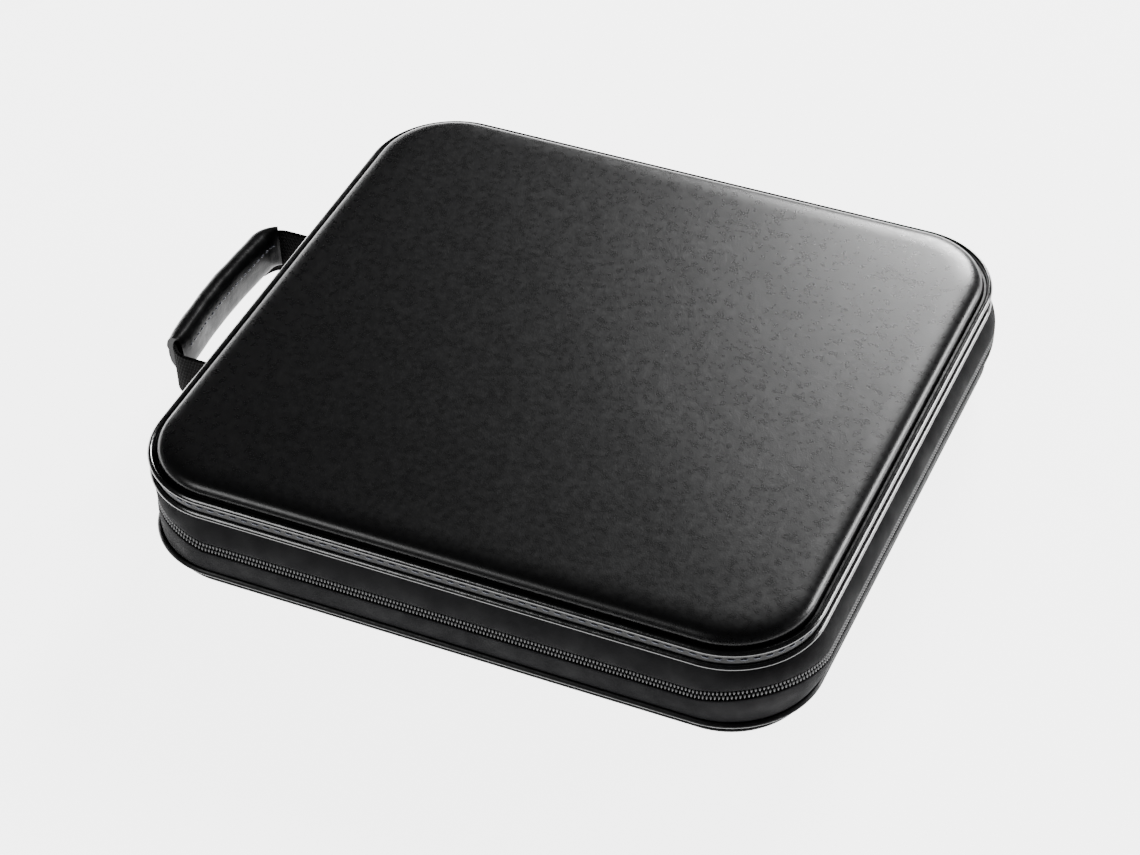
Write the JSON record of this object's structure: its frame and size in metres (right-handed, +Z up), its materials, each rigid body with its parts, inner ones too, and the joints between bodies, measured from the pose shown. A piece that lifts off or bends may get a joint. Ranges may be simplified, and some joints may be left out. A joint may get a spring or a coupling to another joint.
{
  "type": "zippered disc storage case",
  "caption": "Zip-round semi-hard case for storing discs in sleeves, with a rolled carrying handle, lying closed on its back.",
  "frame": {"origin": "middle of the flat back face that the case lies on", "axes": "+Z up through the closed covers, +X from the spine and handle to the opening side, +Y to the side where the sliders are parked"},
  "size_m": [0.3645, 0.3107, 0.064],
  "materials": {
    "leatherette": "fine-grained satin",
    "piping": "glossy coated",
    "nylon": "fine weave",
    "webbing": "ribbed weave",
    "zip_coil": "satin",
    "lining": "brushed knit",
    "sleeve": "smooth film over felt",
    "metal": "satin black"
  },
  "bodies": {
    "base": {"bottom_panel": "leatherette", "bottom_lining": "lining", "bottom_side_band": "piping", "bottom_piping_outer": "piping", "bottom_piping_inner": "piping", "gusset_lower": "nylon", "zip_tape_lower": "nylon", "zip_teeth_lower": "zip_coil", "zip_stop_front": "metal", "zip_stop_back": "metal", "spine_wall": "nylon", "spine_board": "lining", "handle_strap": "webbing", "handle_grip": "leatherette", "disc_sleeves": "sleeve", "sleeve_binding": "lining"},
    "lid": {"top_panel": "leatherette", "top_lining": "lining", "top_side_band": "piping", "top_piping_outer": "piping", "top_piping_inner": "piping", "gusset_upper": "nylon", "zip_tape_upper": "nylon", "zip_teeth_upper": "zip_coil"},
    "slider_left": {"zip_slider_left": "metal"},
    "slider_right": {"zip_slider_right": "metal"},
    "tab_left": {"pull_tab_left": "metal"},
    "tab_right": {"pull_tab_right": "metal"}
  },
  "joints": [
    {"name": "lid_fold", "type": "hinge", "parent": "base", "child": "lid", "pos_m": [-0.164, 0, 0.0469], "axis": [0, -1, 0], "range_deg": [0, 105]},
    {"name": "slider_left_run", "type": "slide", "parent": "base", "child": "slider_left", "axis": [-1, 0, 0], "range_m": [0, 0.085]},
    {"name": "slider_right_run", "type": "slide", "parent": "base", "child": "slider_right", "axis": [1, 0, 0], "range_m": [0, 0.085]},
    {"name": "tab_left_swing", "type": "hinge", "parent": "slider_left", "child": "tab_left", "pos_m": [-0.006, 0.1563, 0.03085], "axis": [0, 0, -1], "range_deg": [0, 120]},
    {"name": "tab_right_swing", "type": "hinge", "parent": "slider_right", "child": "tab_right", "pos_m": [0.006, 0.1563, 0.03085], "axis": [0, 0, 1], "range_deg": [0, 120]}
  ]
}
